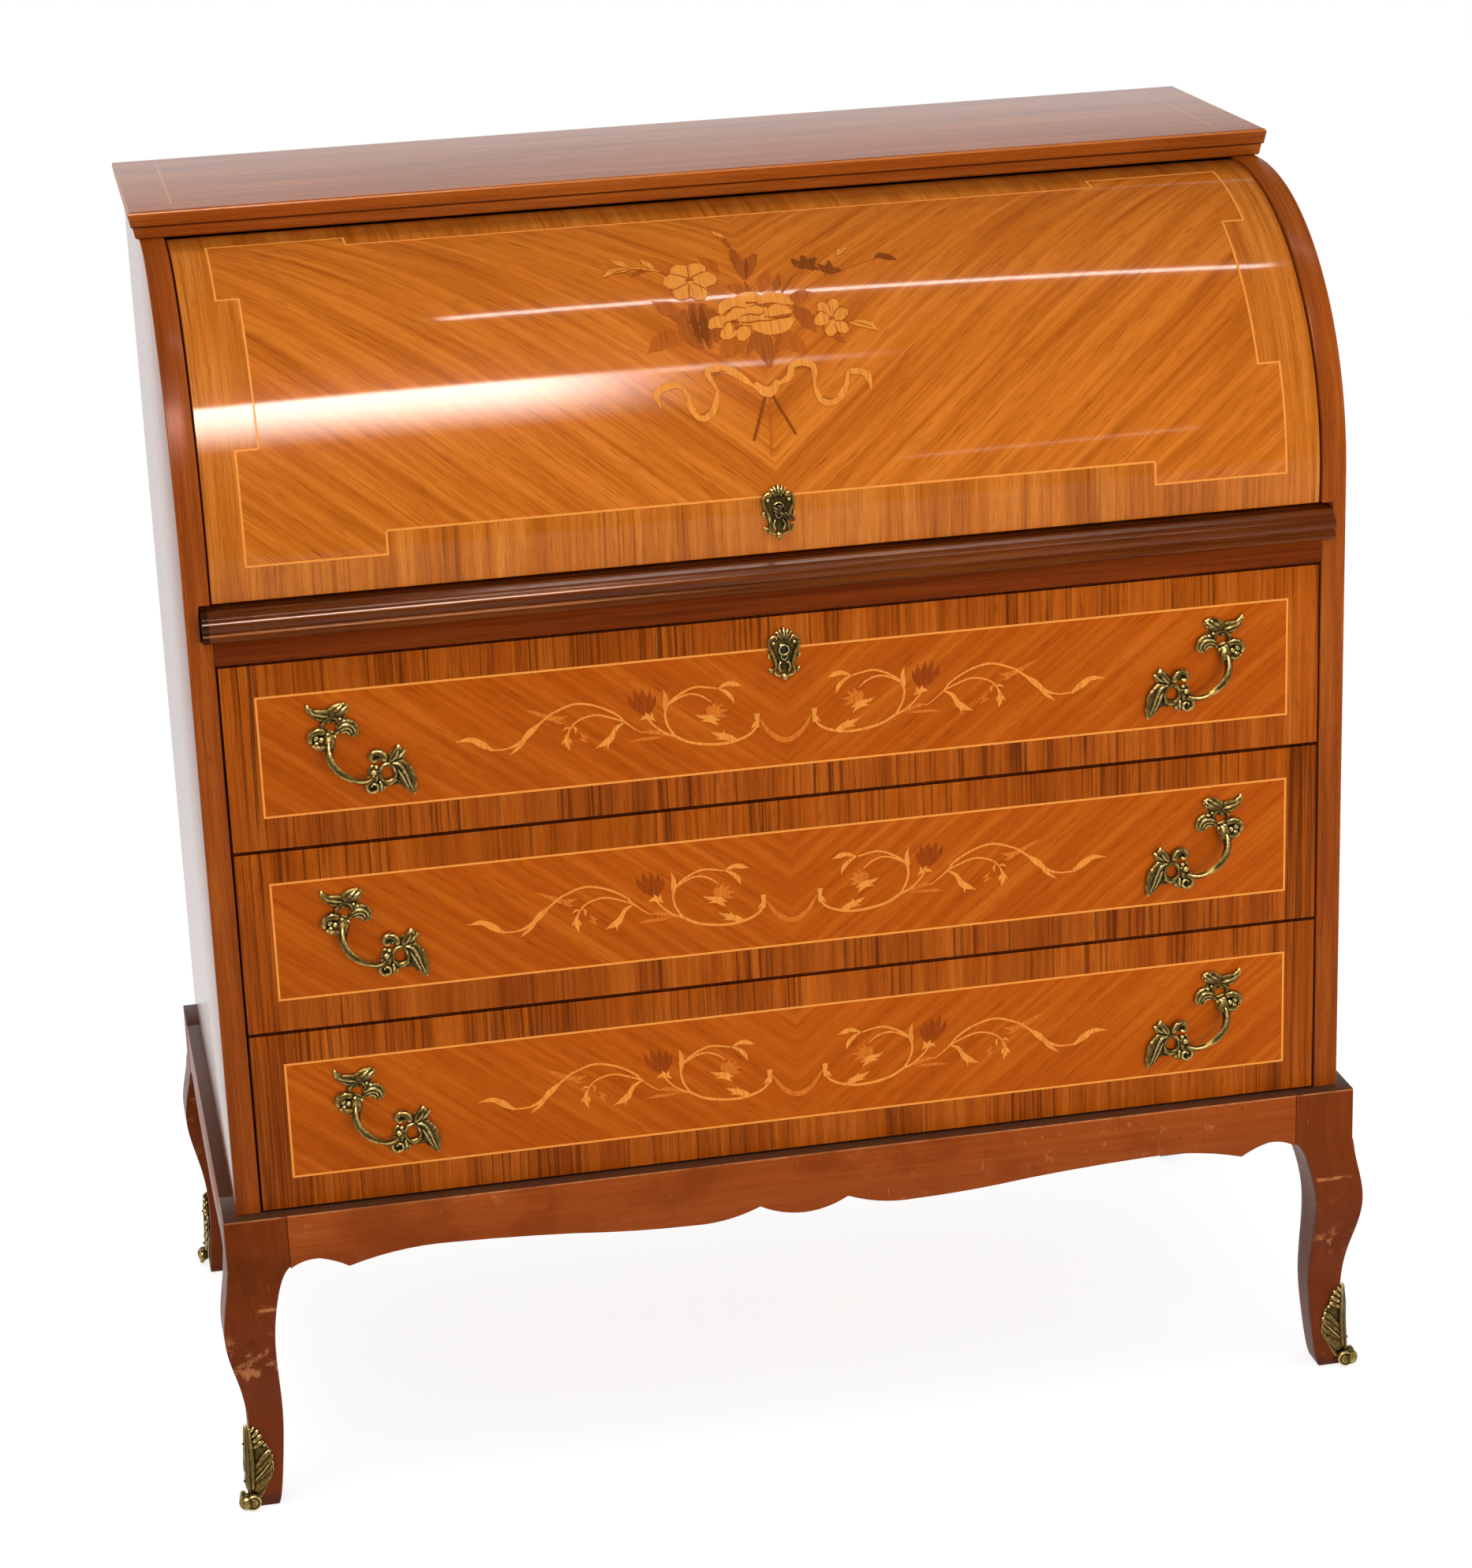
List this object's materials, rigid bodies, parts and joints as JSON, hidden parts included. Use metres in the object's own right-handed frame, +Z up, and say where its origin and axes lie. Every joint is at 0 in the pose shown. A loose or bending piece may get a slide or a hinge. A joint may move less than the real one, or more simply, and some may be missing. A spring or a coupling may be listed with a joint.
{
  "type": "cylinder desk",
  "caption": "Veneered cylinder desk on a cabriole stand: a quarter-round roll over a pull-out writing slide and pigeonholes, with long drawers below.",
  "frame": {"origin": "on the floor, under the middle of the object's box", "axes": "+X to the right of someone facing the desk, +Y to the back, +Z up"},
  "size_m": [0.9588, 0.4964, 1.0233],
  "materials": {
    "veneer": "glossy lacquered walnut and satinwood veneer",
    "stand_wood": "glossy red-brown stained wood",
    "edge_wood": "dark red-brown polished wood",
    "plain_wood": "plain waxed secondary wood",
    "brass": "antique cast brass",
    "steel": "plain turned steel",
    "leather": "smooth brown writing leather"
  },
  "bodies": {
    "carcase": {"apron_front": "stand_wood", "back_panel": "plain_wood", "bed_board": "veneer", "bottom_board": "plain_wood", "drawer_runners": "plain_wood", "dust_board": "plain_wood", "leg_front_left": "stand_wood", "leg_front_right": "stand_wood", "leg_rear_left": "stand_wood", "leg_rear_right": "stand_wood", "pigeonhole_back": "veneer", "pigeonhole_shelves": "veneer", "pigeonhole_top": "veneer", "pigeonhole_uprights": "veneer", "pivot_pins": "steel", "rail_back": "stand_wood", "rail_front": "edge_wood", "rail_side_left": "stand_wood", "rail_side_right": "stand_wood", "sabot_front_left": "brass", "sabot_front_right": "brass", "sabot_rear_left": "brass", "sabot_rear_right": "brass", "side_left": "veneer", "side_right": "veneer", "top_board": "veneer"},
    "roll": {"cylinder_end_left": "veneer", "cylinder_end_right": "veneer", "cylinder_escutcheon": "brass", "cylinder_lock": "steel", "cylinder_shell": "veneer"},
    "key": {"key": "brass"},
    "slide": {"slide_leather": "leather", "slide_nosing": "edge_wood", "writing_slide": "veneer"},
    "drawer_top": {"drawer_escutcheon": "brass", "drawer_lock": "steel", "drawer_top_back": "plain_wood", "drawer_top_floor": "plain_wood", "drawer_top_front": "veneer", "drawer_top_handles": "brass", "drawer_top_sides": "plain_wood"},
    "drawer_middle": {"drawer_middle_back": "plain_wood", "drawer_middle_floor": "plain_wood", "drawer_middle_front": "veneer", "drawer_middle_handles": "brass", "drawer_middle_sides": "plain_wood"},
    "drawer_bottom": {"drawer_bottom_back": "plain_wood", "drawer_bottom_floor": "plain_wood", "drawer_bottom_front": "veneer", "drawer_bottom_handles": "brass", "drawer_bottom_sides": "plain_wood"},
    "inner_drawer_left": {"inner_drawer_left_front": "veneer", "inner_drawer_left_knob": "brass", "inner_drawer_left_tray": "plain_wood"},
    "inner_drawer_right": {"inner_drawer_right_front": "veneer", "inner_drawer_right_knob": "brass", "inner_drawer_right_tray": "plain_wood"}
  },
  "joints": [
    {"name": "cylinder_roll", "type": "hinge", "parent": "carcase", "child": "roll", "pos_m": [0, -0.0017, 0.7845], "axis": [-1, 0, 0], "range_deg": [0, 78]},
    {"name": "slide_pull", "type": "slide", "parent": "carcase", "child": "slide", "axis": [0, -1, 0], "range_m": [0, 0.23]},
    {"name": "drawer_top_pull", "type": "slide", "parent": "carcase", "child": "drawer_top", "axis": [0, -1, 0], "range_m": [0, 0.3]},
    {"name": "drawer_middle_pull", "type": "slide", "parent": "carcase", "child": "drawer_middle", "axis": [0, -1, 0], "range_m": [0, 0.3]},
    {"name": "drawer_bottom_pull", "type": "slide", "parent": "carcase", "child": "drawer_bottom", "axis": [0, -1, 0], "range_m": [0, 0.3]},
    {"name": "inner_drawer_left_pull", "type": "slide", "parent": "carcase", "child": "inner_drawer_left", "axis": [0, -1, 0], "range_m": [0, 0.085]},
    {"name": "inner_drawer_right_pull", "type": "slide", "parent": "carcase", "child": "inner_drawer_right", "axis": [0, -1, 0], "range_m": [0, 0.085]},
    {"name": "key_turn", "type": "hinge", "parent": "roll", "child": "key", "pos_m": [0, -0.2182, 0.798], "axis": [0, -1, 0], "range_deg": [0, 180]}
  ]
}
